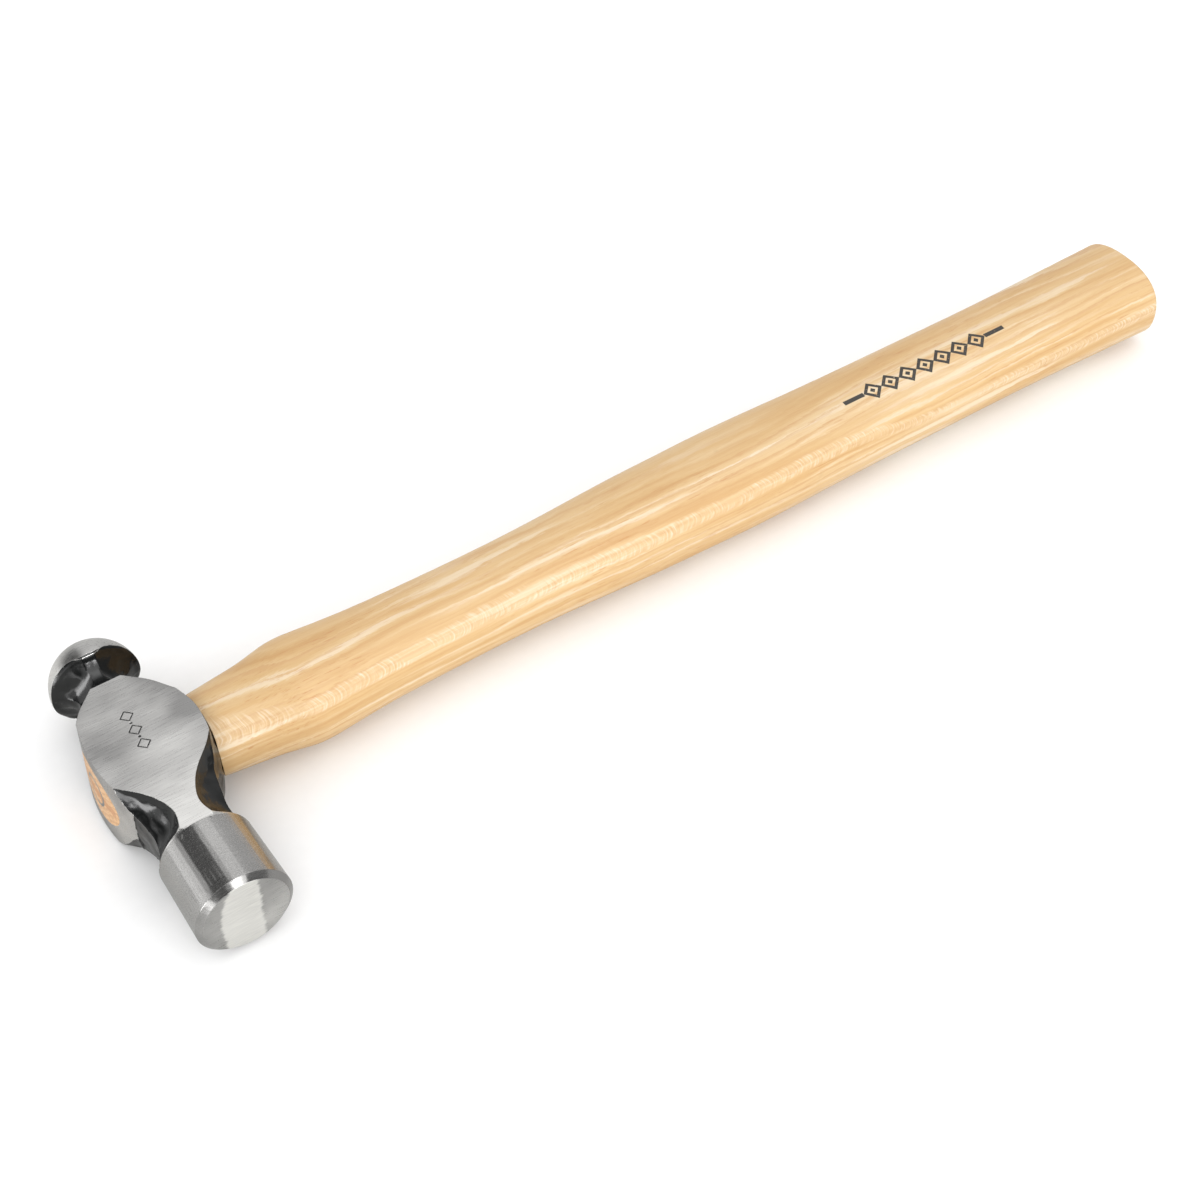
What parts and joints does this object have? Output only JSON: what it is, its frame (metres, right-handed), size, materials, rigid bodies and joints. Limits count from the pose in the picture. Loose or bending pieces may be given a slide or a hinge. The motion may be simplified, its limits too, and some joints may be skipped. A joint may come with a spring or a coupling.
{
  "type": "ball pein hammer",
  "caption": "Ball pein hammer for striking, riveting and shaping metal: a forged steel head with a flat face and a ball, on a shaped oval hardwood handle wedged in its eye.",
  "frame": {"origin": "centre of the striking face", "axes": "+Y along the head from the striking face to the ball, +X along the handle from the eye to the butt, +Z square to the flat cheeks. The hammer lies on its side, as it does on a bench."},
  "size_m": [0.3525, 0.1006, 0.026],
  "materials": {
    "head_steel": "ground satin faces, with black lacquer left in the forged hollows",
    "handle_wood": "clear semi-gloss lacquer over straight-grained hickory",
    "wedge_wood": "sanded flush",
    "wedge_steel": "ground flush"
  },
  "bodies": {
    "root": {"head": "head_steel", "handle": "handle_wood", "wooden_wedge": "wedge_wood", "ring_wedge": "wedge_steel"}
  },
  "joints": []
}
